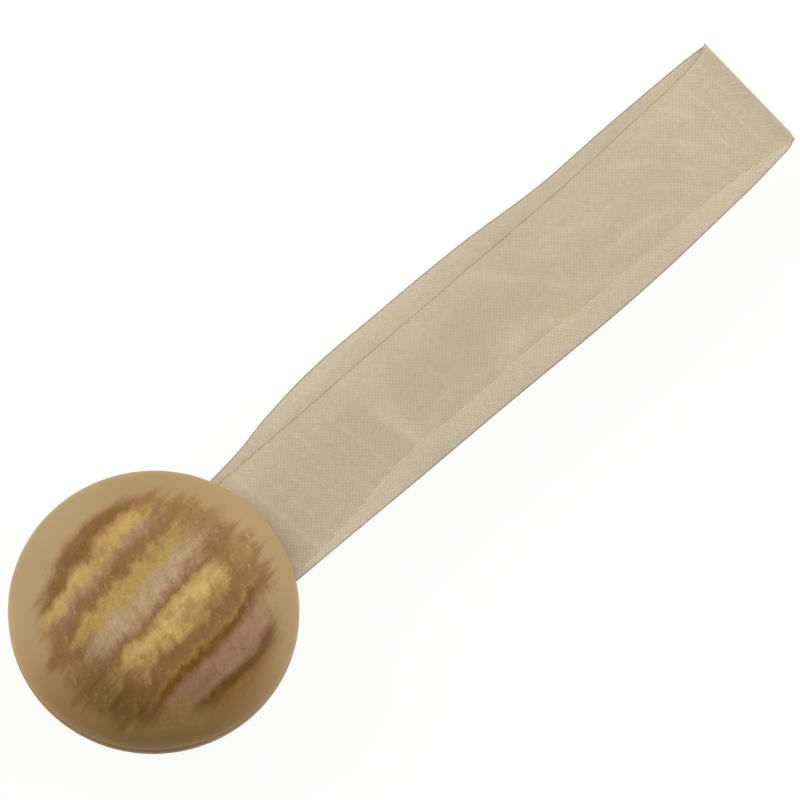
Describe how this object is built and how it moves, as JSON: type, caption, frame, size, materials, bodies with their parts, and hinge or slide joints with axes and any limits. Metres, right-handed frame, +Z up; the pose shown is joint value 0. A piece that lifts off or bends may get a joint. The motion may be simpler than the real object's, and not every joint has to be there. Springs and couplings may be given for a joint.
{
  "type": "magnetic curtain tieback",
  "caption": "Magnetic curtain tieback: domed resin buttons with disc magnets clasp back to back, joined by a folded sheer ribbon that opens into a loop.",
  "frame": {"origin": "centre of the object's box, on the surface it lies on", "axes": "+X along the ribbon from the buttons to the fold, +Z up along the axis of the buttons, front button on top"},
  "size_m": [0.1504, 0.045, 0.0171],
  "materials": {
    "resin": "polished cast resin with pearl streaks",
    "plate": "moulded plastic, satin",
    "magnet": "nickel plated",
    "organza": "sheer plain weave with woven edges"
  },
  "bodies": {
    "rear_button": {"rear_cap": "resin", "rear_magnet": "magnet", "rear_back_plate": "plate", "ribbon_rear_inner": "organza"},
    "rear_outer_stretch": {"ribbon_rear_outer": "organza"},
    "fold_turn": {"ribbon_fold": "organza"},
    "front_outer_stretch": {"ribbon_front_outer": "organza"},
    "front_inner_stretch": {"ribbon_front_inner": "organza"},
    "front_button": {"ribbon_front_tab": "organza", "front_back_plate": "plate", "front_magnet": "magnet", "front_cap": "resin"}
  },
  "joints": [
    {"name": "loop_open", "type": "hinge", "parent": "rear_button", "child": "rear_outer_stretch", "pos_m": [0.02233, 0, 0.0075], "axis": [0, -1, 0], "range_deg": [0, 90]},
    {"name": "loop_fold", "type": "hinge", "parent": "rear_outer_stretch", "child": "fold_turn", "pos_m": [0.0739, 0, 0.0072], "axis": [0, -1, 0], "range_deg": [-90, 0]},
    {"name": "unfold", "type": "hinge", "parent": "fold_turn", "child": "front_outer_stretch", "pos_m": [0.0739, 0, 0.0099], "axis": [0, 1, 0], "range_deg": [0, 180]},
    {"name": "loop_front_flex", "type": "hinge", "parent": "front_outer_stretch", "child": "front_inner_stretch", "pos_m": [0.02233, 0, 0.0096], "axis": [0, -1, 0], "range_deg": [0, 90]},
    {"name": "loop_front_root", "type": "hinge", "parent": "front_inner_stretch", "child": "front_button", "pos_m": [-0.02925, 0, 0.0099], "axis": [0, -1, 0], "range_deg": [-90, 0]}
  ],
  "couplings": [
    {"joint": "loop_fold", "follows": "loop_open", "ratio": -1},
    {"joint": "loop_front_flex", "follows": "loop_open", "ratio": 1},
    {"joint": "loop_front_root", "follows": "loop_open", "ratio": -1}
  ]
}
